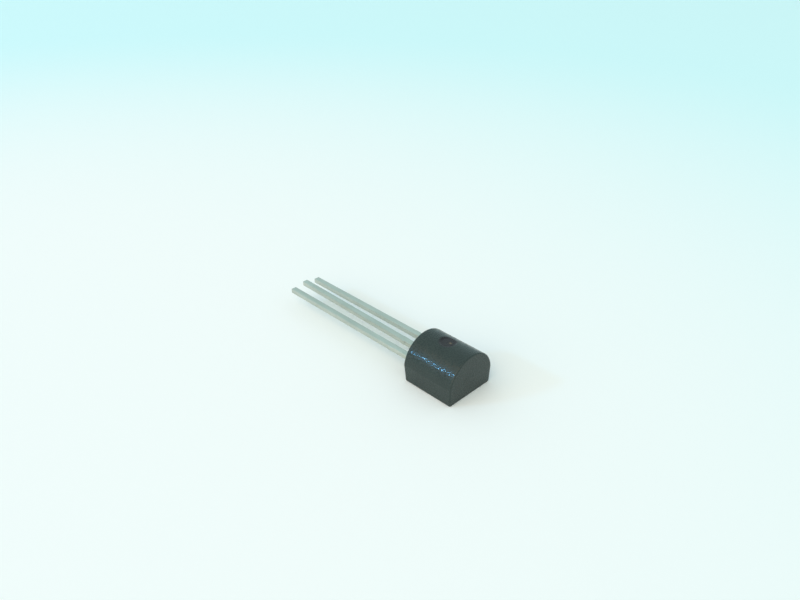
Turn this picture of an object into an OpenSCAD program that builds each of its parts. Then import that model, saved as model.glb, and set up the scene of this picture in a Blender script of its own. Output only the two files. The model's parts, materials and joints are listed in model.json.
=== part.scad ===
// Small plastic-cased transistor with three leads in a row (a TO-92 outline), lying on its flat.
// The origin is on the flat face, half way along the case. +X runs from the lead end to the far end,
// +Z from the flat face to the crown, and the leads point along -X. Lengths are in millimetres.

/* [Case] */
// Width of the case, which is the diameter of its round half
case_w = 4.52; // [4.4:0.01:5.2]
// Length of the case along the leads, at the parting plane
case_l = 4.58; // [4.4:0.01:5.3]
// Depth of the case from the flat face to the crown
case_d = 3.4; // [3.2:0.01:3.7]
// Width of the flat face, edge breaks included
flat_w = 4.36; // [4.1:0.01:4.38]
// Height of the parting plane over the flat face, where the two halves of the mould meet
parting_z = 1.43; // [1.3:0.01:1.6]
// How far the lead end leans in at the flat face, so that the case leaves the mould
lead_end_draft = 0.14; // [0:0.01:0.3]
// How far the far end leans in at the flat face
far_end_draft = 0.04; // [0:0.01:0.3]
// Width of the break along the outer edges
edge_break = 0.06; // [0.02:0.01:0.12]

/* [Ejector pin mark] */
// Diameter of the mark that the ejector pin leaves in the crown
pin_mark_d = 1.4; // [1:0.05:1.8]
// Depth of the mark below the crown's highest line
pin_mark_depth = 0.12; // [0.08:0.01:0.22]
// Distance of the mark's middle from the lead end
pin_mark_from_lead_end = 2.15; // [1.5:0.05:3]
// Distance of the mark's middle to the side of the crown's highest line
pin_mark_side = 0.14; // [0:0.01:0.3]

/* [Leads] */
// Distance between neighbouring leads
lead_pitch = 1.27; // [1.2:0.01:1.3]
// Width of a lead
lead_w = 0.46; // [0.36:0.01:0.55]
// Thickness of the lead frame, and so of every lead
lead_t = 0.38; // [0.3:0.01:0.5]
// Free length of the leads, from the lead end of the case to their tips
lead_l = 14.5; // [12.7:0.1:16.5]
// How far the middle lead's tip is sprung towards the crown
middle_tip_lift = 0.23; // [0:0.01:0.5]
// Distance from the case to where the middle lead begins to rise
middle_rise_start = 1; // [0.2:0.1:3]
// Distance from the case to the stubs of the cut dam bar
dam_bar_gap = 1.9; // [1:0.05:2.5]
// Length of the dam bar's stubs along the lead
dam_bar_l = 0.5; // [0.3:0.05:0.8]
// How far a stub stands out of the lead's side
dam_bar_stub = 0.02; // [0.01:0.01:0.1]

/* [Lead frame inside the case] */
// Distance from the lead end to the notches that lock a lead in the case
lock_notch_gap = 0.25; // [0.15:0.05:0.35]
// Length of a locking notch along the lead
lock_notch_l = 0.22; // [0.1:0.01:0.25]
// Depth of a locking notch
lock_notch_depth = 0.07; // [0.03:0.01:0.12]
// Distance from the lead end to the shoulder of the outer leads' bond posts
post_gap = 0.7; // [0.65:0.01:0.8]
// Length of a bond post
post_l = 0.85; // [0.7:0.01:0.95]
// Width of a bond post
post_w = 0.8; // [0.7:0.01:0.85]
// Gap between a bond post and the die pad
frame_gap = 0.25; // [0.2:0.01:0.3]
// Length of the die pad
pad_l = 1.85; // [1.5:0.01:1.9]
// Width of the die pad
pad_w = 2.2; // [1.6:0.01:2.4]
// Depth of the round notches that lock the die pad in the case
pad_notch_r = 0.15; // [0.1:0.01:0.2]

/* [Die and bond wires] */
// Side of the square die
die_w = 0.6; // [0.4:0.01:0.7]
// Thickness of the die
die_t = 0.22; // [0.15:0.01:0.25]
// Thickness of the layer that holds the die on its pad
attach_t = 0.025; // [0.02:0.005:0.04]
// How far the layer shows round the die
attach_rim = 0.04; // [0.02:0.01:0.08]
// Diameter of a bond wire
wire_d = 0.05; // [0.03:0.005:0.06]
// Diameter of the ball that joins a wire to the die
ball_d = 0.12; // [0.1:0.01:0.14]
// Length of the stitch that joins a wire to its post
stitch_l = 0.16; // [0.12:0.01:0.2]
// Width of the stitch
stitch_w = 0.1; // [0.07:0.01:0.12]
// How far the two balls stand apart
ball_spacing = 0.3; // [0.2:0.01:0.34]
// Rise of a wire's loop over a straight line between its joints
loop_rise = 0.38; // [0.25:0.01:0.45]

/* [Hidden] */
$fn = 64;

// The case, about its own middle
crown_r = case_w / 2;
crown_axis_z = case_d - crown_r;
parting_w = 2 * sqrt(pow(crown_r, 2) - pow(parting_z - crown_axis_z, 2));
side_draft = (parting_w - flat_w) / 2;
lead_end_x = -case_l / 2;
far_end_x = case_l / 2;
cut_span = 2 * (case_l + case_w);

// The lead frame, which lies in the parting plane
tip_x = lead_end_x - lead_l;
dam_bar_x = lead_end_x - dam_bar_gap;
lock_notch_x = lead_end_x + lock_notch_gap;
post_x = lead_end_x + post_gap;
post_end_x = post_x + post_l;
post_shoulder = (post_w - lead_w) / 2;
pad_x = post_end_x + frame_gap;
pad_end_x = pad_x + pad_l;
pad_middle_x = (pad_x + pad_end_x) / 2;
pad_shoulder = 0.2 * pad_w;
frame_face_z = parting_z - lead_t / 2;

// The bonds: a joint is as thick as its wire, so a wire that ends half way up one never digs in
bond_t = wire_d;
die_top = attach_t + die_t;
ball_x = pad_middle_x - ball_spacing / 2;
stitch_x = (post_x + post_end_x) / 2;

// A half outline and its mirror image, as one closed outline.
function two_sided(half) =
    concat(half, [for (i = [len(half) - 1 : -1 : 0]) [half[i].x, -half[i].y]]);

// One side of a strip from the tip to the point where the frame widens: dam bar stub, then locking notch.
function strip_side() = [
    [tip_x, lead_w / 2],
    [dam_bar_x - dam_bar_l, lead_w / 2],
    [dam_bar_x - dam_bar_l, lead_w / 2 + dam_bar_stub],
    [dam_bar_x, lead_w / 2 + dam_bar_stub],
    [dam_bar_x, lead_w / 2],
    [lock_notch_x, lead_w / 2],
    [lock_notch_x, lead_w / 2 - lock_notch_depth],
    [lock_notch_x + lock_notch_l, lead_w / 2 - lock_notch_depth],
    [lock_notch_x + lock_notch_l, lead_w / 2]
];

// Everything between two leaning faces of the flat half, which stand at -near and +far at the
// parting plane and lean in by their drafts at the flat, where each has a broken edge.
module between_drafted_faces(turn, near, far, near_draft, far_draft)
    rotate([0, 0, turn])
        rotate([90, 0, 0])
            linear_extrude(height = cut_span, center = true)
                polygon([
                    [-near, parting_z],
                    [-near + near_draft * (1 - edge_break / parting_z), edge_break],
                    [-near + near_draft + edge_break, 0],
                    [far - far_draft - edge_break, 0],
                    [far - far_draft * (1 - edge_break / parting_z), edge_break],
                    [far, parting_z]
                ]);

// The half of the case with the flat face: straight walls with draft, and broken corners.
module flat_half() {
    corner = (case_l / 2 + parting_w / 2 - edge_break) / sqrt(2);
    lead_corner_draft = (lead_end_draft + side_draft) / sqrt(2);
    far_corner_draft = (far_end_draft + side_draft) / sqrt(2);
    intersection() {
        between_drafted_faces(0, case_l / 2, case_l / 2, lead_end_draft, far_end_draft);
        between_drafted_faces(90, parting_w / 2, parting_w / 2, side_draft, side_draft);
        for (turn = [45, -45])
            between_drafted_faces(turn, corner, corner, lead_corner_draft, far_corner_draft);
    }
}

// The round half of the case: a turned form with broken rims, above the parting plane.
module round_half()
    intersection() {
        translate([0, 0, crown_axis_z])
            rotate([0, 90, 0])
                rotate_extrude()
                    polygon([
                        [0, lead_end_x],
                        [crown_r - edge_break, lead_end_x],
                        [crown_r, lead_end_x + edge_break],
                        [crown_r, far_end_x - edge_break],
                        [crown_r - edge_break, far_end_x],
                        [0, far_end_x]
                    ]);
        translate([-case_l, -case_w, parting_z])
            cube([2 * case_l, 2 * case_w, case_d]);
    }

// The flat-bottomed sink that the ejector pin leaves across the crown.
module pin_mark()
    translate([lead_end_x + pin_mark_from_lead_end, pin_mark_side, case_d - pin_mark_depth])
        cylinder(d = pin_mark_d, h = case_d);

// Moulded epoxy case, filled tight round the lead frame, the die and the wires.
module case()
    color([0.27, 0.31, 0.3])
        difference() {
            union() {
                flat_half();
                round_half();
            }
            pin_mark();
            lead_emitter();
            lead_collector();
            lead_base();
            die();
            die_attach();
            bond_wire_emitter();
            bond_wire_base();
        }

// A straight piece of lead frame, given its outline from above.
module flat_frame_piece(outline)
    translate([0, 0, frame_face_z])
        linear_extrude(height = lead_t)
            polygon(outline);

// An outer lead: a straight strip that ends inside the case in a post for its bond wire.
module outer_lead(side)
    color([0.68, 0.7, 0.68])
        translate([0, side * lead_pitch, 0])
            flat_frame_piece(two_sided(concat(strip_side(), [
                [post_x - post_shoulder, lead_w / 2],
                [post_x, post_w / 2],
                [post_end_x - post_shoulder, post_w / 2],
                [post_end_x, lead_w / 2]
            ])));

module lead_emitter() outer_lead(-1);

module lead_base() outer_lead(1);

// The middle lead: it carries the die pad, and its free end is sprung a little towards the crown.
module lead_collector() {
    rise_x = lead_end_x - middle_rise_start;
    color([0.68, 0.7, 0.68])
        difference() {
            intersection() {
                linear_extrude(height = case_d)
                    polygon(two_sided(concat(strip_side(), [
                        [pad_x, lead_w / 2],
                        [pad_x, pad_w / 2 - pad_shoulder],
                        [pad_x + pad_shoulder, pad_w / 2],
                        [pad_end_x, pad_w / 2]
                    ])));
                rotate([90, 0, 0])
                    linear_extrude(height = case_w, center = true)
                        polygon([
                            [tip_x, frame_face_z + middle_tip_lift],
                            [rise_x, frame_face_z],
                            [pad_end_x, frame_face_z],
                            [pad_end_x, frame_face_z + lead_t],
                            [rise_x, frame_face_z + lead_t],
                            [tip_x, frame_face_z + lead_t + middle_tip_lift]
                        ]);
            }
            for (side = [-1, 1])
                translate([pad_end_x - pad_l / 3, side * pad_w / 2, 0])
                    cylinder(r = pad_notch_r, h = case_d);
        }
}

// Puts what it is given on the frame's face towards the flat, with +Z away from the frame.
module on_frame_face()
    translate([0, 0, frame_face_z])
        mirror([0, 0, 1])
            children();

module die()
    color([0.36, 0.38, 0.42])
        on_frame_face()
            translate([pad_middle_x - die_w / 2, -die_w / 2, attach_t])
                cube([die_w, die_w, die_t]);

module die_attach() {
    attach_w = die_w + 2 * attach_rim;
    color([0.75, 0.74, 0.7])
        on_frame_face()
            translate([pad_middle_x - attach_w / 2, -attach_w / 2, 0])
                cube([attach_w, attach_w, attach_t]);
}

// A bond wire: a ball on the die, one round loop, and a stitch on the post of an outer lead.
module bond_wire(side) {
    ball = [ball_x, side * ball_spacing / 2];
    stitch = [stitch_x, side * lead_pitch];
    reach = norm(stitch - ball);
    heading = atan2(stitch.y - ball.y, stitch.x - ball.x);
    chord = norm([reach, die_top]);
    slope = atan2(-die_top, reach);
    loop_r = (pow(chord / 2, 2) + pow(loop_rise, 2)) / (2 * loop_rise);
    half_sweep = asin(chord / (2 * loop_r));
    middle = [reach / 2, (die_top + bond_t) / 2];
    loop_centre = middle - (loop_r - loop_rise) * [-sin(slope), cos(slope)];
    color([0.86, 0.7, 0.32])
        on_frame_face()
            translate([ball.x, ball.y, 0])
                rotate([0, 0, heading]) {
                    translate([0, 0, die_top])
                        cylinder(d = ball_d, h = bond_t);
                    translate([loop_centre.x, 0, loop_centre.y])
                        rotate([90, 0, 0])
                            rotate([0, 0, slope + 90 - half_sweep])
                                rotate_extrude(angle = 2 * half_sweep)
                                    translate([loop_r, 0])
                                        circle(d = wire_d);
                    translate([reach - stitch_l / 2, -stitch_w / 2, 0])
                        cube([stitch_l, stitch_w, bond_t]);
                }
}

module bond_wire_emitter() bond_wire(-1);

module bond_wire_base() bond_wire(1);

case();
lead_emitter();
lead_collector();
lead_base();
die();
die_attach();
bond_wire_emitter();
bond_wire_base();
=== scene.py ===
"""A small leaded transistor in a moulded epoxy case, lying on its flat on a pale table.

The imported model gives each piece's size and place. This script dresses it: the case is remade
with the rounded edges, parting line and ejector pin mark of a moulding, the leads with the soft
edges of tin-plated strip, and the sealed parts get the materials that they are made of.
"""

from __future__ import annotations

import json
import logging
import math
from dataclasses import dataclass, field
from enum import Enum
from typing import Any, Callable, Iterable

import bmesh
import bpy
from mathutils import Matrix, Vector

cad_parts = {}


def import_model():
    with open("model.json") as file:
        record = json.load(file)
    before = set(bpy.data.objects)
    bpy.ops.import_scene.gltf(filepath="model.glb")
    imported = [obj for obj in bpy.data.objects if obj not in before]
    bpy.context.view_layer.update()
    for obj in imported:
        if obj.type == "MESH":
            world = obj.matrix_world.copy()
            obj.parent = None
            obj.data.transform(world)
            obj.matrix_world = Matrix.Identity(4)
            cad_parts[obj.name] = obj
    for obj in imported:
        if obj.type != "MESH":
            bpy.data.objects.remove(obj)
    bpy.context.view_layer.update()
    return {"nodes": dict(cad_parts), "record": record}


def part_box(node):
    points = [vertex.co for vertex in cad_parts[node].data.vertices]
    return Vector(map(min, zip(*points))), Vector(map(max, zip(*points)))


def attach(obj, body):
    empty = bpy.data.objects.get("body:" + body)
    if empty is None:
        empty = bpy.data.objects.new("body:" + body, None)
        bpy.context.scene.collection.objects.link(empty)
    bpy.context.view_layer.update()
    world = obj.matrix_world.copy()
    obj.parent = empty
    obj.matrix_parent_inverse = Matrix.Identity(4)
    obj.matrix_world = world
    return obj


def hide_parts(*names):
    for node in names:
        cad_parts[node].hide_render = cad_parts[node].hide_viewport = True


LOG = logging.getLogger("transistor")

MM = 0.001
BODY = "root"

# a colour Mix node's sockets go by number, because its other data types repeat their names
MIX_AMOUNT, MIX_UNDER, MIX_OVER, MIX_RESULT = 0, 6, 7, 2


# ----------------------------------------------------------------------------------------------
# Small helpers
# ----------------------------------------------------------------------------------------------


def linear(hex_colour: str) -> tuple[float, float, float, float]:
    """Turns an sRGB hex colour into the linear colour that a shader takes.

    Args:
        hex_colour: the colour as "#rrggbb".

    Returns:
        Red, green, blue and an alpha of 1, in linear light.
    """
    channels = [int(hex_colour[i : i + 2], 16) / 255 for i in (1, 3, 5)]
    curved = [c / 12.92 if c <= 0.04045 else ((c + 0.055) / 1.055) ** 2.4 for c in channels]
    return (curved[0], curved[1], curved[2], 1.0)


def add_node(
    tree: bpy.types.NodeTree,
    kind: str,
    settings: dict[str, Any] | None = None,
    inputs: dict[str | int, Any] | None = None,
) -> bpy.types.Node:
    """Adds a shader node with its settings and its inputs.

    Args:
        tree: the node tree that gets the node.
        kind: the node's type, such as "ShaderNodeTexNoise".
        settings: properties of the node itself.
        inputs: a value, or an output socket to link from, for each input by name or number.

    Returns:
        The new node.
    """
    node = tree.nodes.new(kind)
    for name, value in (settings or {}).items():
        setattr(node, name, value)
    for name, value in (inputs or {}).items():
        if isinstance(value, bpy.types.NodeSocket):
            tree.links.new(value, node.inputs[name])
        else:
            node.inputs[name].default_value = value
    return node


def new_object(name: str, data: bpy.types.ID) -> bpy.types.Object:
    """Links a new object that holds the mesh, lamp or camera data, and returns it."""
    thing = bpy.data.objects.new(name, data)
    bpy.context.scene.collection.objects.link(thing)
    return thing


def mesh_from(name: str, build: Callable[[bmesh.types.BMesh], None]) -> bpy.types.Mesh:
    """Makes a mesh from what a function draws into an empty bmesh.

    Args:
        name: the mesh's name.
        build: draws into the bmesh that it is given, in metres.

    Returns:
        The finished mesh.
    """
    bm = bmesh.new()
    build(bm)
    bmesh.ops.recalc_face_normals(bm, faces=bm.faces)
    mesh = bpy.data.meshes.new(name)
    bm.to_mesh(mesh)
    bm.free()
    return mesh


def apply_modifiers(thing: bpy.types.Object) -> None:
    """Bakes an object's modifiers into its mesh."""
    depsgraph = bpy.context.evaluated_depsgraph_get()
    baked = bpy.data.meshes.new_from_object(thing.evaluated_get(depsgraph))
    thing.modifiers.clear()
    thing.data = baked


def smooth_by_angle(mesh: bpy.types.Mesh, degrees: float) -> None:
    """Shades a mesh smooth, with sharp edges where its faces turn by more than an angle."""
    for polygon in mesh.polygons:
        polygon.use_smooth = True
    mesh.set_sharp_from_angle(angle=math.radians(degrees))


# ----------------------------------------------------------------------------------------------
# Finishes
# ----------------------------------------------------------------------------------------------


class Surface:
    """A material under construction: its tree, its shader and a position in object space."""

    def __init__(self, name: str) -> None:
        """Starts a material with one Principled shader.

        Args:
            name: the material's name.
        """
        self.material = bpy.data.materials.new(name)
        self.material.use_nodes = True
        self.tree = self.material.node_tree
        self.shader = self.tree.nodes["Principled BSDF"]
        self.place = add_node(self.tree, "ShaderNodeTexCoord").outputs["Object"]

    def set(self, **values: Any) -> None:
        """Sets or links the shader's sockets, with spaces in their names written as underscores."""
        for name, value in values.items():
            socket = self.shader.inputs[name.replace("_", " ")]
            if isinstance(value, bpy.types.NodeSocket):
                self.tree.links.new(value, socket)
            else:
                socket.default_value = value

    def mottle(
        self,
        size_mm: float,
        detail: float = 2.0,
        roughness: float = 0.5,
        stretch: tuple[float, float, float] = (1.0, 1.0, 1.0),
    ) -> bpy.types.NodeSocket:
        """Adds an irregular pattern whose features are about the size given.

        Args:
            size_mm: the width of a feature, in millimetres.
            detail: how many finer octaves are added.
            roughness: how strong the finer octaves are.
            stretch: how much longer a feature is along each axis.

        Returns:
            The pattern's number output, from 0 to 1.
        """
        drawn_out = add_node(
            self.tree,
            "ShaderNodeMapping",
            inputs={"Vector": self.place, "Scale": [1 / s for s in stretch]},
        )
        pattern = add_node(
            self.tree,
            "ShaderNodeTexNoise",
            inputs={
                "Vector": drawn_out.outputs["Vector"],
                "Scale": 1 / (size_mm * MM),
                "Detail": detail,
                "Roughness": roughness,
            },
        )
        return pattern.outputs["Fac"]

    def spot(self, centre: Vector, radius: float, soft: float) -> bpy.types.NodeSocket:
        """Adds a round spot about a point: 1 inside, and 0 past a soft edge.

        Args:
            centre: the spot's middle, in metres.
            radius: the spot's radius, in metres.
            soft: the width of its edge, in metres.

        Returns:
            The spot's number output.
        """
        distance = add_node(
            self.tree,
            "ShaderNodeVectorMath",
            {"operation": "DISTANCE"},
            {0: self.place, 1: list(centre)},
        )
        edge = add_node(
            self.tree,
            "ShaderNodeMapRange",
            {"interpolation_type": "SMOOTHSTEP"},
            {
                "Value": distance.outputs["Value"],
                "From Min": radius + soft / 2,
                "From Max": radius - soft / 2,
            },
        )
        return edge.outputs["Result"]

    def layers(
        self, ground: str, *coats: tuple[bpy.types.NodeSocket, str]
    ) -> bpy.types.NodeSocket:
        """Lays colours over a ground colour, each as thickly as its own pattern says.

        Args:
            ground: the colour underneath, as "#rrggbb".
            coats: for each colour on top, its pattern from 0 to 1 and the colour as "#rrggbb".

        Returns:
            The finished colour.
        """
        colour: Any = linear(ground)
        for pattern, coat in coats:
            mixed = add_node(
                self.tree,
                "ShaderNodeMix",
                {"data_type": "RGBA"},
                {MIX_AMOUNT: pattern, MIX_UNDER: colour, MIX_OVER: linear(coat)},
            )
            colour = mixed.outputs[MIX_RESULT]
        return colour


@dataclass(frozen=True)
class MouldedEpoxy:
    """Black epoxy moulding compound, transfer moulded in a spark-eroded steel mould.

    It gives the eye a cold, matt near-black, which the silica filler greys in slow drifts along
    the flow. The eroded skin has matt pits with smoother lands between them, so that a highlight
    breaks up into bright specks.
    """

    name: str = "moulded_epoxy"
    black: str = "#25312f"
    grey: str = "#313e3b"
    # the pin mark's floor: partly the smooth pin end's own brownish tone, partly painted shade,
    # darker to stand for the dim reflection in the sunk floor
    pin_floor: str = "#242326"
    # painted highlight: a tan spot on the pin mark's floor that stands for a small warm glint
    painted_glint: str = "#6b6252"
    # real erosion pits are about 0.03 mm across; they are drawn coarser so that they still show
    grain_mm: float = 0.12
    grain_depth_mm: float = 0.012
    flow_mm: float = 1.3
    pit_roughness: float = 0.4
    land_roughness: float = 0.06
    # the heights in the grain, from 0 to 1, at which a pit ends and a land begins
    land_edges: tuple[float, float] = (0.49, 0.58)
    # how softly the pin mark's floor colour ends (its own tone, painted darker as shade), and the
    # size of the small tan spot of painted highlight on that floor
    pin_edge_mm: float = 0.12
    glint_radius_mm: float = 0.08
    glint_edge_mm: float = 0.16
    ior: float = 1.5
    # the pits shade one another, so less light glances off than a smooth epoxy skin would give
    specular_level: float = 0.33

    def build(
        self, pin_centre: Vector, pin_radius: float, glint_centre: Vector
    ) -> bpy.types.Material:
        """Builds the material.

        Args:
            pin_centre: the middle of the ejector pin mark's floor, in metres.
            pin_radius: the mark's radius, in metres.
            glint_centre: the middle of the painted highlight, a small tan glint painted on the
                mark's floor, in metres.

        Returns:
            The material.
        """
        surface = Surface(self.name)
        flow = surface.mottle(self.flow_mm, detail=3.0, roughness=0.6)
        grain = surface.mottle(self.grain_mm, detail=0.0)
        # the pin mark's floor, whose colour is partly its own tone and partly painted shade
        pin = surface.spot(pin_centre, pin_radius, self.pin_edge_mm * MM)
        # the tan spot of painted highlight, kept to the pin mark's floor
        patch = surface.spot(glint_centre, self.glint_radius_mm * MM, self.glint_edge_mm * MM)
        painted_glint_mask = add_node(
            surface.tree, "ShaderNodeMath", {"operation": "MULTIPLY"}, {0: patch, 1: pin}
        )
        rough = add_node(
            surface.tree,
            "ShaderNodeMapRange",
            {"interpolation_type": "SMOOTHSTEP"},
            {
                "Value": grain,
                "From Min": self.land_edges[0],
                "From Max": self.land_edges[1],
                "To Min": self.pit_roughness,
                "To Max": self.land_roughness,
            },
        )
        relief = add_node(
            surface.tree,
            "ShaderNodeBump",
            inputs={"Height": grain, "Distance": self.grain_depth_mm * MM},
        )
        surface.set(
            Base_Color=surface.layers(
                self.black,
                (flow, self.grey),
                (pin, self.pin_floor),
                (painted_glint_mask.outputs["Value"], self.painted_glint),
            ),
            Roughness=rough.outputs["Result"],
            IOR=self.ior,
            Specular_IOR_Level=self.specular_level,
            Normal=relief.outputs["Normal"],
        )
        return surface.material


@dataclass(frozen=True)
class TinPlate:
    """Matt electroplated tin over rolled copper-alloy strip.

    It gives the eye a soft silver with no clear mirror image in it, which dulls to grey in
    patches. The strip's lengthwise rolling lines show through and smear its highlights across.
    """

    name: str = "matt_tin_plate"
    bright: str = "#d4d6cc"
    dull: str = "#b1b8ad"
    # real rolling lines are 0.01 to 0.02 mm apart; they are drawn coarser so that they still show
    rolling_line_mm: float = 0.035
    line_depth_mm: float = 0.0012
    line_stretch: float = 30.0
    patch_mm: float = 0.7
    patch_stretch: float = 3.0
    roughness: float = 0.38
    roughness_spread: float = 0.2

    def build(self) -> bpy.types.Material:
        """Builds the material, and returns it."""
        surface = Surface(self.name)
        patches = surface.mottle(
            self.patch_mm, detail=4.0, roughness=0.6, stretch=(self.patch_stretch, 1.0, 1.0)
        )
        lines = surface.mottle(
            self.rolling_line_mm, detail=2.0, roughness=0.6, stretch=(self.line_stretch, 1.0, 1.0)
        )
        # the dull patches are also the rougher ones
        rough = add_node(
            surface.tree,
            "ShaderNodeMath",
            {"operation": "MULTIPLY_ADD"},
            {0: patches, 1: self.roughness_spread, 2: self.roughness - self.roughness_spread / 2},
        )
        relief = add_node(
            surface.tree,
            "ShaderNodeBump",
            inputs={"Height": lines, "Distance": self.line_depth_mm * MM},
        )
        surface.set(
            Metallic=1.0,
            Base_Color=surface.layers(self.bright, (patches, self.dull)),
            Roughness=rough.outputs["Value"],
            Normal=relief.outputs["Normal"],
        )
        return surface.material


@dataclass(frozen=True)
class ShearedStrip:
    """Copper alloy laid bare where the tip was sheared from the strip, and since browned.

    It gives the eye a dull brown end to the silver lead, with tin dragged over it by the shear.
    """

    name: str = "sheared_copper_alloy"
    copper: str = "#a98a6d"
    tin: str = "#b3b4ae"
    smear_mm: float = 0.09
    smear_depth_mm: float = 0.004
    smear_stretch: float = 3.0
    roughness: float = 0.45

    def build(self) -> bpy.types.Material:
        """Builds the material, and returns it."""
        surface = Surface(self.name)
        smear = surface.mottle(self.smear_mm, detail=2.0, stretch=(1.0, 1.0, self.smear_stretch))
        relief = add_node(
            surface.tree,
            "ShaderNodeBump",
            inputs={"Height": smear, "Distance": self.smear_depth_mm * MM},
        )
        surface.set(
            Metallic=1.0,
            Base_Color=surface.layers(self.copper, (smear, self.tin)),
            Roughness=self.roughness,
            Normal=relief.outputs["Normal"],
        )
        return surface.material


@dataclass(frozen=True)
class SealedMetal:
    """Solder, gold wire or a polished silicon die, which shines like a metal.

    It gives the eye one even metal colour, a little darker in patches.
    """

    name: str
    light: str
    dark: str
    patch_mm: float
    roughness: float
    patch_depth_mm: float = 0.002

    def build(self) -> bpy.types.Material:
        """Builds the material, and returns it."""
        surface = Surface(self.name)
        patches = surface.mottle(self.patch_mm, detail=3.0)
        relief = add_node(
            surface.tree,
            "ShaderNodeBump",
            inputs={"Height": patches, "Distance": self.patch_depth_mm * MM},
        )
        surface.set(
            Metallic=1.0,
            Base_Color=surface.layers(self.light, (patches, self.dark)),
            Roughness=self.roughness,
            Normal=relief.outputs["Normal"],
        )
        return surface.material


@dataclass(frozen=True)
class TableTop:
    """White melamine laminate, pressed smooth and matt.

    It gives the eye a plain pale ground with soft shadows and no gloss. Its colour is painted a
    faint blue with distance from one spot: painted light, the warm lamp's light falling off round a
    pool of light.
    """

    name: str = "white_laminate"
    white: str = "#f2fdfd"
    # painted light: the faint blue far off stands for the warm lamp's light falling off
    painted_falloff: str = "#cefbff"
    falloff_start_mm: float = 31.0
    falloff_end_mm: float = 158.0
    roughness: float = 0.7
    specular_level: float = 0.25

    def build(self, centre: Vector) -> bpy.types.Material:
        """Builds the material.

        Args:
            centre: the middle of the painted pool of light, where the table is whitest, in metres.

        Returns:
            The material.
        """
        surface = Surface(self.name)
        middle = (self.falloff_start_mm + self.falloff_end_mm) / 2 * MM
        width = (self.falloff_end_mm - self.falloff_start_mm) * MM
        surface.set(
            Base_Color=surface.layers(
                self.painted_falloff, (surface.spot(centre, middle, width), self.white)
            ),
            Roughness=self.roughness,
            Specular_IOR_Level=self.specular_level,
        )
        return surface.material


# ----------------------------------------------------------------------------------------------
# Case
# ----------------------------------------------------------------------------------------------


@dataclass
class OutlinePoint:
    """A point of the case's cross-section, with its outward normal."""

    y: float
    z: float
    out_y: float
    out_z: float

    def inset(self, depth: float) -> tuple[float, float]:
        """Returns the point moved in by a depth, as (y, z)."""
        return self.y - depth * self.out_y, self.z - depth * self.out_z


class Stretch(Enum):
    """The stretches of the case's skin, from the leads to the far end."""

    LEAD_EDGE = "rounded edge at the leads"
    BARREL = "straight barrel"
    FAR_EDGE = "rounded edge at the far end"


@dataclass
class Ring:
    """A ring of vertices round the case's skin.

    The inset is how far the ring stands in from the full cross-section. On an edge, the step is
    how far it stands in from the end face. On the barrel, the share is how far along it stands,
    from 0 at the leads to 1 at the far end.
    """

    stretch: Stretch
    inset: float = 0.0
    step: float = 0.0
    share: float = 0.0


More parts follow.
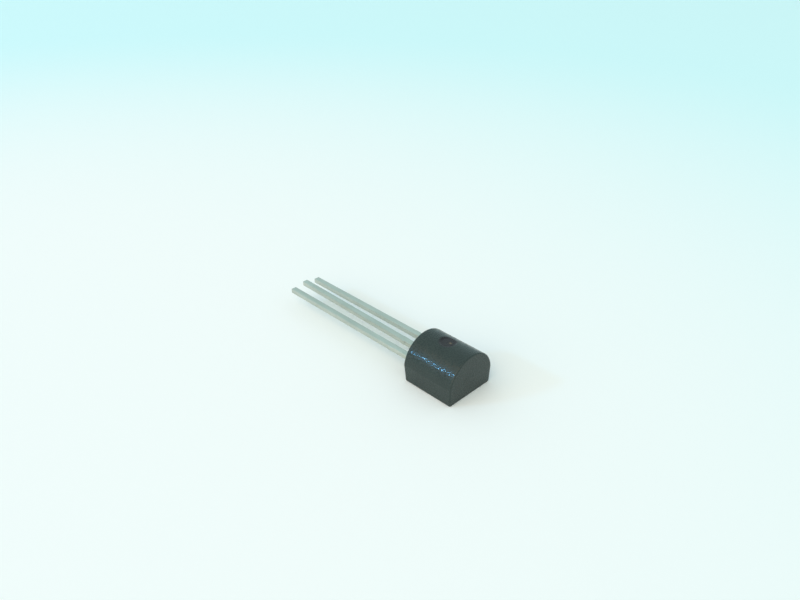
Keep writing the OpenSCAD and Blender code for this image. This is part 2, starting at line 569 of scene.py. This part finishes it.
@dataclass
class Case:
    """The moulded case: a flat half and a round half that meet on the parting plane.

    The pin mark is the shallow sink that the mould's ejector pin leaves in the crown. A square
    patch of the skin about it is drawn as rings that close in on it.
    """

    node: str = "case"
    edge_radius: float = 0.09 * MM
    corner_radius: float = 0.12 * MM
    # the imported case's broken edge round the flat ends within this height
    edge_zone: float = 0.14 * MM
    # the thin rib of flash along the parting plane
    flash_height: float = 0.003 * MM
    flash_width: float = 0.035 * MM
    # the pin mark, whose wall slopes in over pin_slope, and the middle of the painted highlight on
    # its floor
    pin_diameter: float = 1.4 * MM
    pin_depth: float = 0.12 * MM
    pin_from_lead_end: float = 2.15 * MM
    pin_side: float = 0.14 * MM
    pin_slope: float = 0.18 * MM
    glint_along: float = 0.185 * MM
    glint_aside: float = 0.057 * MM
    # a lead's pocket: the room round the lead, and its reach to both sides of the end face
    pocket_gap: float = 0.004 * MM
    pocket_inside: float = 0.3 * MM
    pocket_outside: float = 0.2 * MM
    # a lead keeps one section this far out of the case
    neck_length: float = 1.0 * MM
    # how finely the skin is divided
    patch_half: float = 1.12 * MM
    patch_cells: int = 36
    turning_rings: int = 6
    slope_rings: int = 8
    floor_rings: int = 8
    flat_cells: int = 14
    wall_cells: int = 14
    edge_cells: int = 6
    flank_cell: float = 0.07 * MM
    barrel_cell: float = 0.08 * MM
    # faces that turn by less than this are shaded as one
    smooth_degrees: float = 40.0

    lead_x: float = field(init=False)
    far_x: float = field(init=False)
    depth: float = field(init=False)
    parting_z: float = field(init=False)
    parting_half: float = field(init=False)
    flat_half: float = field(init=False)
    lead_draft: float = field(init=False)
    far_draft: float = field(init=False)
    crown_radius: float = field(init=False)
    crown_axis_z: float = field(init=False)
    patch_first: int = field(init=False)
    pockets: list[tuple[Vector, Vector]] = field(init=False)

    def measure(
        self, record: dict[str, Any], mesh: bpy.types.Mesh, leads: Iterable[bpy.types.Mesh]
    ) -> None:
        """Reads the case's sizes and its leads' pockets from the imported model.

        Args:
            record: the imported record, whose lead mount lies on the parting plane.
            mesh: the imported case.
            leads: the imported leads.
        """
        low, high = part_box(self.node)
        self.lead_x, self.far_x, self.depth = low.x, high.x, high.z
        mounts = {mount["name"]: mount for mount in record["mounts"]}
        self.parting_z = mounts["lead_row"]["pos_m"][2]
        self.parting_half = high.y
        rise = self.depth - self.parting_z
        self.crown_radius = (rise**2 + self.parting_half**2) / (2 * rise)
        self.crown_axis_z = self.depth - self.crown_radius
        # the drafted walls start over the broken edge, and are carried on down to the flat's plane
        wall = [v.co for v in mesh.vertices if 0 < v.co.z < self.edge_zone]
        low_z = max(v.z for v in wall)
        grow = self.parting_z / (self.parting_z - low_z)
        wall_y = max(v.y for v in wall)
        self.flat_half = self.parting_half - (self.parting_half - wall_y) * grow
        self.lead_draft = (min(v.x for v in wall) - self.lead_x) * grow
        self.far_draft = (self.far_x - max(v.x for v in wall)) * grow
        self.pockets = [self.pocket(lead) for lead in leads]

    def pocket(self, lead: bpy.types.Mesh) -> tuple[Vector, Vector]:
        """Works out the pocket that a lead enters the case by.

        Args:
            lead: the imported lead.

        Returns:
            The pocket's lowest and highest corner.
        """
        start, end = self.lead_x - self.pocket_outside, self.lead_x + self.pocket_inside
        neck = [v.co for v in lead.vertices if self.lead_x - self.neck_length < v.co.x < end]
        low = Vector((start, min(v.y for v in neck), min(v.z for v in neck)))
        high = Vector((end, max(v.y for v in neck), max(v.z for v in neck)))
        room = Vector((0.0, self.pocket_gap, self.pocket_gap))
        return low - room, high + room

    def half_outline(self) -> list[OutlinePoint]:
        """Draws one side of the cross-section, from the middle of the flat to the crown.

        Returns:
            The points in order, for positive y.
        """
        lean = math.atan2(self.parting_half - self.flat_half, self.parting_z)
        r = self.corner_radius
        # the corner's centre stands one radius in from the flat and from the leaning wall
        centre_y = self.flat_half - r * (1 - math.sin(lean)) / math.cos(lean)
        points = [
            OutlinePoint(centre_y * i / self.flat_cells, 0.0, 0.0, -1.0)
            for i in range(self.flat_cells)
        ]
        for i in range(self.edge_cells + 1):
            turn = -math.pi / 2 + (math.pi / 2 - lean) * i / self.edge_cells
            out_y, out_z = math.cos(turn), math.sin(turn)
            points.append(OutlinePoint(centre_y + r * out_y, r + r * out_z, out_y, out_z))
        start = points[-1]
        for i in range(1, self.wall_cells):
            part = i / self.wall_cells
            y = start.y + (self.parting_half - start.y) * part
            z = start.z + (self.parting_z - self.flash_width / 2 - start.z) * part
            points.append(OutlinePoint(y, z, math.cos(lean), -math.sin(lean)))
        for step, height in ((-1, 0.0), (0, self.flash_height), (1, 0.0)):
            z = self.parting_z + step * self.flash_width / 2
            points.append(OutlinePoint(self.parting_half + height, z, 1.0, 0.0))
        flank_z = self.parting_z + self.flash_width / 2
        flank_turn = math.asin((flank_z - self.crown_axis_z) / self.crown_radius)
        flank_span = math.acos(self.patch_half / self.crown_radius) - flank_turn
        flank_cells = round(flank_span * self.crown_radius / self.flank_cell)
        for i in range(1, flank_cells):
            points.append(self.crown_point(flank_turn + flank_span * i / flank_cells))
        for i in range(self.patch_cells // 2 + 1):
            y = self.patch_half * (1 - 2 * i / self.patch_cells)
            points.append(self.crown_point(math.acos(y / self.crown_radius)))
        return points

    def crown_point(self, turn: float) -> OutlinePoint:
        """Returns the point of the round half at an angle up from the +Y side, in radians."""
        out_y, out_z = math.cos(turn), math.sin(turn)
        return OutlinePoint(
            self.crown_radius * out_y,
            self.crown_axis_z + self.crown_radius * out_z,
            out_y,
            out_z,
        )

    def crown_height(self, y: float) -> float:
        """Returns the height of the round half's surface at a distance from the middle."""
        return self.crown_axis_z + math.sqrt(self.crown_radius**2 - y**2)

    def end_x(self, at_far_end: bool, z: float) -> float:
        """Returns where an end face stands at a height: it leans in below the parting plane."""
        lean = max(0.0, 1 - z / self.parting_z)
        if at_far_end:
            return self.far_x - self.far_draft * lean
        return self.lead_x + self.lead_draft * lean

    @property
    def pin_x(self) -> float:
        """Where the middle of the pin mark lies along the case."""
        return self.lead_x + self.pin_from_lead_end

    def stations(self) -> list[Ring]:
        """Lists the rings along the case, from the leads to the far end."""
        r = self.edge_radius
        edge = []
        for i in range(self.edge_cells):
            turn = math.pi / 2 * i / self.edge_cells
            edge.append((r - r * math.sin(turn), r - r * math.cos(turn)))
        start, end = self.lead_x + r, self.far_x - r
        patch_start, patch_end = self.pin_x - self.patch_half, self.pin_x + self.patch_half
        before = max(2, round((patch_start - start) / self.barrel_cell))
        after = max(2, round((end - patch_end) / self.barrel_cell))
        self.patch_first = self.edge_cells + before
        stops = [start + (patch_start - start) * i / before for i in range(before)]
        stops += [
            patch_start + (patch_end - patch_start) * i / self.patch_cells
            for i in range(self.patch_cells)
        ]
        stops += [patch_end + (end - patch_end) * i / after for i in range(after + 1)]
        rings = [Ring(Stretch.LEAD_EDGE, inset, step) for inset, step in edge]
        rings += [Ring(Stretch.BARREL, share=(stop - start) / (end - start)) for stop in stops]
        rings += [Ring(Stretch.FAR_EDGE, inset, step) for inset, step in reversed(edge)]
        return rings

    def ring_point(self, ring: Ring, point: OutlinePoint) -> Vector:
        """Returns the place of one point of the cross-section on one ring."""
        y, z = point.inset(ring.inset)
        lead_face, far_face = self.end_x(False, z), self.end_x(True, z)
        if ring.stretch is Stretch.LEAD_EDGE:
            return Vector((lead_face + ring.step, y, z))
        if ring.stretch is Stretch.FAR_EDGE:
            return Vector((far_face - ring.step, y, z))
        start, end = lead_face + self.edge_radius, far_face - self.edge_radius
        return Vector((start + (end - start) * ring.share, y, z))

    def draw(self, bm: bmesh.types.BMesh) -> None:
        """Draws the case as a closed skin, before the leads' pockets are cut."""
        half = self.half_outline()
        loop = half + [
            OutlinePoint(-p.y, p.z, -p.out_y, p.out_z) for p in reversed(half[1:-1])
        ]
        count, crown = len(loop), len(half) - 1
        grid = [
            [bm.verts.new(self.ring_point(ring, point)) for point in loop]
            for ring in self.stations()
        ]
        patch_rows = range(self.patch_first, self.patch_first + self.patch_cells)
        first_column = crown - self.patch_cells // 2
        patch_columns = range(first_column, first_column + self.patch_cells)
        for i in range(len(grid) - 1):
            for k in range(count):
                if i in patch_rows and k in patch_columns:
                    continue
                n = (k + 1) % count
                bm.faces.new((grid[i][k], grid[i][n], grid[i + 1][n], grid[i + 1][k]))
        for i in patch_rows:
            for k in patch_columns:
                if i > patch_rows[0] and k > patch_columns[0]:
                    bm.verts.remove(grid[i][k])
        self.draw_pin_mark(bm, grid, patch_rows, patch_columns)
        for row in (grid[0], grid[-1]):
            self.draw_end(bm, row, half)

    def draw_end(
        self, bm: bmesh.types.BMesh, row: list[bmesh.types.BMVert], half: list[OutlinePoint]
    ) -> None:
        """Fills an end face with level rows of cells between the skin's two sides.

        Args:
            bm: the bmesh that is drawn into.
            row: the ring of vertices round the end face.
            half: one side of the cross-section.
        """
        columns = 2 * self.flat_cells
        at_far_end = row[0].co.x > 0
        count, crown = len(row), len(half) - 1
        level = [row[self.flat_cells - i] for i in range(columns + 1)]
        for k in range(self.flat_cells + 1, crown):
            right, left = row[k], row[count - k]
            z = right.co.z
            x = self.end_x(at_far_end, z)
            inner = [
                bm.verts.new((x, right.co.y * (1 - 2 * c / columns), z)) for c in range(1, columns)
            ]
            above = [right, *inner, left]
            for c in range(columns):
                bm.faces.new((level[c], level[c + 1], above[c + 1], above[c]))
            level = above
        for c in range(columns):
            bm.faces.new((level[c], level[c + 1], row[crown]))

    def draw_pin_mark(
        self,
        bm: bmesh.types.BMesh,
        grid: list[list[bmesh.types.BMVert]],
        rows: range,
        columns: range,
    ) -> None:
        """Fills the opening left in the crown with rings that close in on the pin mark.

        Args:
            bm: the bmesh that is drawn into.
            grid: the skin's vertices, by ring and by place in the ring.
            rows: the rings that the opening spans.
            columns: the places that the opening spans.
        """
        top, bottom = rows[0], rows[-1] + 1
        left, right = columns[0], columns[-1] + 1
        rim = [grid[top][k] for k in range(left, right)]
        rim += [grid[i][right] for i in range(top, bottom)]
        rim += [grid[bottom][k] for k in range(right, left, -1)]
        rim += [grid[i][left] for i in range(bottom, top, -1)]
        centre = Vector((self.pin_x, self.pin_side, 0.0))
        radius = self.pin_diameter / 2
        floor = self.depth - self.pin_depth
        # for each ring: how far the square opening has turned into a circle, the circle's radius,
        # and how far the skin has sunk from the crown to the mark's floor
        steps = [(i / self.turning_rings, radius, 0.0) for i in range(1, self.turning_rings + 1)]
        for i in range(1, self.slope_rings + 1):
            share = i / self.slope_rings
            sunk = (1 - math.cos(math.pi * share)) / 2
            steps.append((1.0, radius - self.pin_slope * share, sunk))
        flat = radius - self.pin_slope
        steps += [(1.0, flat * (1 - i / self.floor_rings), 1.0) for i in range(1, self.floor_rings)]
        spokes = [Vector((vert.co.x, vert.co.y, 0.0)) - centre for vert in rim]
        previous = rim
        for turned, reach, sunk in steps:
            ring = []
            for spoke in spokes:
                place = centre + spoke.lerp(spoke.normalized() * reach, turned)
                crown = self.crown_height(place.y)
                place.z = crown + (min(floor, crown) - crown) * sunk
                ring.append(bm.verts.new(place))
            for a in range(len(rim)):
                b = (a + 1) % len(rim)
                bm.faces.new((previous[a], previous[b], ring[b], ring[a]))
            previous = ring
        middle = bm.verts.new((centre.x, centre.y, floor))
        for a in range(len(rim)):
            b = (a + 1) % len(rim)
            bm.faces.new((previous[a], previous[b], middle))

    def make(self, finish: MouldedEpoxy) -> bpy.types.Object:
        """Makes the case, cuts the leads' pockets and dresses it.

        Args:
            finish: the case's material.

        Returns:
            The case.
        """
        shell = new_object("moulded_case", mesh_from("moulded_case", self.draw))
        for low, high in self.pockets:
            cutter = new_object("pocket", mesh_from("pocket", lambda bm: draw_box(bm, low, high)))
            cut = shell.modifiers.new("pocket", "BOOLEAN")
            cut.operation = "DIFFERENCE"
            cut.solver = "EXACT"
            cut.object = cutter
            apply_modifiers(shell)
            bpy.data.objects.remove(cutter)
        smooth_by_angle(shell.data, self.smooth_degrees)
        pin_floor = Vector((self.pin_x, self.pin_side, self.depth - self.pin_depth))
        # the middle of the small painted highlight on the pin mark's floor
        painted_glint = pin_floor + Vector((self.glint_along, self.glint_aside, 0.0))
        shell.data.materials.append(finish.build(pin_floor, self.pin_diameter / 2, painted_glint))
        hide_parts(self.node)
        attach(shell, BODY)
        return shell


def draw_box(bm: bmesh.types.BMesh, low: Vector, high: Vector) -> None:
    """Draws a box between two corners."""
    made = bmesh.ops.create_cube(bm, size=1.0)["verts"]
    bmesh.ops.scale(bm, verts=made, vec=high - low)
    bmesh.ops.translate(bm, verts=made, vec=(high + low) / 2)


# ----------------------------------------------------------------------------------------------
# Leads
# ----------------------------------------------------------------------------------------------


class LeadPlace(Enum):
    """The three leads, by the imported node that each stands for."""

    EMITTER = "lead_emitter"
    COLLECTOR = "lead_collector"
    BASE = "lead_base"


@dataclass
class Lead:
    """One lead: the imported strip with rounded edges, tin plate and a bare sheared tip."""

    place: LeadPlace
    edge_radius: float = 0.04 * MM
    edge_cells: int = 3
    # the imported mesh's doubled vertices are closer than this, and its flat faces turn by less
    weld_gap: float = 0.0005 * MM
    flat_degrees: float = 0.5
    # an edge that turns by more than this is a sheared edge, which gets rounded
    sheared_degrees: float = 30.0
    # faces that turn by less than this are shaded as one
    smooth_degrees: float = 35.0

    def make(
        self, cad_node: bpy.types.Object, plate: bpy.types.Material, tip: bpy.types.Material
    ) -> bpy.types.Object:
        """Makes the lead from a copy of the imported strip.

        Args:
            cad_node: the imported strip.
            plate: the material of the plated faces.
            tip: the material of the sheared tip.

        Returns:
            The lead.
        """
        bm = bmesh.new()
        bm.from_mesh(cad_node.data)
        bmesh.ops.remove_doubles(bm, verts=bm.verts, dist=self.weld_gap)
        bmesh.ops.dissolve_limit(
            bm, angle_limit=math.radians(self.flat_degrees), verts=bm.verts, edges=bm.edges
        )
        sheared = math.radians(self.sheared_degrees)
        bmesh.ops.bevel(
            bm,
            geom=[e for e in bm.edges if e.is_manifold and e.calc_face_angle() > sheared],
            offset=self.edge_radius,
            segments=self.edge_cells,
            profile=0.5,
            affect="EDGES",
            clamp_overlap=True,
        )
        tip_x = min(v.co.x for v in bm.verts)
        for face in bm.faces:
            at_tip = all(v.co.x < tip_x + self.edge_radius / 2 for v in face.verts)
            face.material_index = 1 if at_tip else 0
        mesh = bpy.data.meshes.new("tinned_" + self.place.value)
        bm.to_mesh(mesh)
        bm.free()
        smooth_by_angle(mesh, self.smooth_degrees)
        strip = new_object("tinned_" + self.place.value, mesh)
        mesh.materials.append(plate)
        mesh.materials.append(tip)
        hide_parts(self.place.value)
        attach(strip, BODY)
        return strip


# ----------------------------------------------------------------------------------------------
# Sealed parts
# ----------------------------------------------------------------------------------------------


@dataclass
class SealedParts:
    """The die, what holds it, and its wires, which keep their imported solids."""

    # the wafer's polish leaves the silicon dark and shiny, the solder under it is paler and
    # duller, and the wires are bright yellow gold, drawn smooth
    finishes: dict[str, SealedMetal] = field(
        default_factory=lambda: {
            "die": SealedMetal("polished_silicon", "#5d636d", "#3f444e", 0.2, 0.18),
            "die_attach": SealedMetal("die_solder", "#b9b8b2", "#8f8f8a", 0.08, 0.4),
            "bond_wire_emitter": SealedMetal("drawn_gold_emitter", "#e6bd5c", "#c99f45", 0.05, 0.25),
            "bond_wire_base": SealedMetal("drawn_gold_base", "#e6bd5c", "#c99f45", 0.05, 0.25),
        }
    )

    def dress(self, nodes: dict[str, bpy.types.Object]) -> None:
        """Gives each sealed piece its material.

        Args:
            nodes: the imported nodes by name.
        """
        for name, finish in self.finishes.items():
            materials = nodes[name].data.materials
            materials.clear()
            materials.append(finish.build())
            LOG.info("%s dressed as %s", name, finish.name)


# ----------------------------------------------------------------------------------------------
# Studio
# ----------------------------------------------------------------------------------------------


@dataclass
class Lamp:
    """An area lamp that looks at the part.

    Its share is the brightness that it would give a white table, were it white and far off. A
    tinted lamp gives less than that, and so does one that is wide for its distance.
    """

    name: str
    direction: tuple[float, float, float]
    distance: float
    size: tuple[float, float]
    share: float
    colour: str = "#ffffff"

    def make(self, target: Vector) -> bpy.types.Object:
        """Makes the lamp, with the power that its share asks for.

        Args:
            target: the point that it looks at.

        Returns:
            The lamp.
        """
        towards = Vector(self.direction).normalized()
        data = bpy.data.lights.new(self.name, "AREA")
        data.shape = "RECTANGLE"
        data.size, data.size_y = self.size
        data.energy = self.share * math.pi**2 * self.distance**2 / towards.z
        data.color = linear(self.colour)[:3]
        lamp = new_object(self.name, data)
        lamp.location = target + towards * self.distance
        lamp.rotation_euler = towards.to_track_quat("Z", "Y").to_euler()
        return lamp


@dataclass
class Studio:
    """A pale table, soft lamps, an even sky and the camera.

    The sky's strength and the lamps' shares are set so that the table renders in about the
    colour that it is written in, without clipping.
    """

    table_half: float = 0.7
    # keeps the table's face clear of the case's flat
    table_gap: float = 0.002 * MM
    # the middle of the table's painted pool of light
    table_light_pool_centre: tuple[float, float, float] = (-21.0 * MM, -39.0 * MM, 0.0)
    camera_place: tuple[float, float, float] = (26.78 * MM, -31.401 * MM, 31.685 * MM)
    camera_right: tuple[float, float, float] = (0.70418, 0.71002, -0.00124)
    camera_up: tuple[float, float, float] = (-0.36466, 0.36316, 0.8574)
    clip_start: float = 2.0 * MM
    clip_end: float = 10.0
    sensor_mm: float = 36.0
    lens_mm: float = 31.131
    sky: str = "#e8f6fb"
    sky_strength: float = 0.775
    backdrop: str = "#d2eef2"
    # the front lamp is the room's wide warm light, the window is a small blue pane that draws the
    # line of specks along the round half, and its haze is the softer glow about that line
    lamps: list[Lamp] = field(
        default_factory=lambda: [
            Lamp("front", (0.12, -0.92, 0.78), 4.2, (6.0, 5.0), 0.545, "#ffdab5"),
            Lamp("window", (-0.52, -0.745, 0.448), 0.6, (0.05, 0.013), 0.045, "#80ccff"),
            Lamp("window_haze", (-0.52, -0.745, 0.448), 0.6, (0.1, 0.055), 0.025, "#50b4ff"),
        ]
    )

    def make_table(self, finish: bpy.types.Material) -> bpy.types.Object:
        """Makes the table top that the part lies on, and returns it."""
        h, z = self.table_half, -self.table_gap

        def draw(bm: bmesh.types.BMesh) -> None:
            corners = [bm.verts.new((x, y, z)) for x, y in ((-h, -h), (h, -h), (h, h), (-h, h))]
            bm.faces.new(corners)

        table = new_object("table", mesh_from("table", draw))
        table.data.materials.append(finish)
        return table

    def make_sky(self) -> None:
        """Makes the world: an even soft fill from all round, seen as a backdrop like the table."""
        world = bpy.data.worlds.new("studio")
        world.use_nodes = True
        bpy.context.scene.world = world
        tree = world.node_tree
        fill = tree.nodes["Background"]
        fill.inputs["Color"].default_value = linear(self.sky)
        fill.inputs["Strength"].default_value = self.sky_strength
        backdrop = add_node(
            tree,
            "ShaderNodeBackground",
            inputs={"Color": linear(self.backdrop), "Strength": 1.0},
        )
        rays = add_node(tree, "ShaderNodeLightPath").outputs
        seen = rays["Is Camera Ray"]
        for ray in ("Is Glossy Ray", "Is Transmission Ray"):
            either = add_node(
                tree, "ShaderNodeMath", {"operation": "MAXIMUM"}, {0: seen, 1: rays[ray]}
            )
            seen = either.outputs["Value"]
        shown = add_node(
            tree,
            "ShaderNodeMixShader",
            inputs={0: seen, 1: fill.outputs["Background"], 2: backdrop.outputs["Background"]},
        )
        tree.links.new(shown.outputs["Shader"], tree.nodes["World Output"].inputs["Surface"])

    def make_camera(self) -> bpy.types.Object:
        """Makes the camera, and returns it."""
        data = bpy.data.cameras.new("camera")
        data.sensor_width = self.sensor_mm
        data.lens = self.lens_mm
        data.clip_start = self.clip_start
        data.clip_end = self.clip_end
        camera = new_object("camera", data)
        right = Vector(self.camera_right).normalized()
        back = right.cross(Vector(self.camera_up)).normalized()
        up = back.cross(right)
        turn = Matrix((right, up, back)).transposed()
        camera.matrix_world = Matrix.Translation(self.camera_place) @ turn.to_4x4()
        bpy.context.scene.camera = camera
        return camera

    def make(self, target: Vector) -> None:
        """Makes the table, the lamps, the world and the camera.

        Args:
            target: the point that the lamps look at.
        """
        self.make_table(TableTop().build(Vector(self.table_light_pool_centre)))
        for lamp in self.lamps:
            lamp.make(target)
        self.make_sky()
        self.make_camera()
        bpy.context.scene.view_settings.view_transform = "Standard"


# ----------------------------------------------------------------------------------------------
# Everything together
# ----------------------------------------------------------------------------------------------


def main() -> None:
    """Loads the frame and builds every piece."""
    logging.basicConfig(level=logging.INFO, format="%(message)s")
    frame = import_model()
    nodes = frame["nodes"]

    case = Case()
    leads = [nodes[place.value].data for place in LeadPlace]
    case.measure(frame["record"], nodes[case.node].data, leads)
    shell = case.make(MouldedEpoxy())
    LOG.info("case: %d faces", len(shell.data.polygons))

    plate, tip = TinPlate().build(), ShearedStrip().build()
    for place in LeadPlace:
        strip = Lead(place).make(nodes[place.value], plate, tip)
        LOG.info("%s: %d faces", strip.name, len(strip.data.polygons))

    SealedParts().dress(nodes)
    Studio().make(Vector((0.0, 0.0, case.parting_z)))


if __name__ == "__main__":
    main()
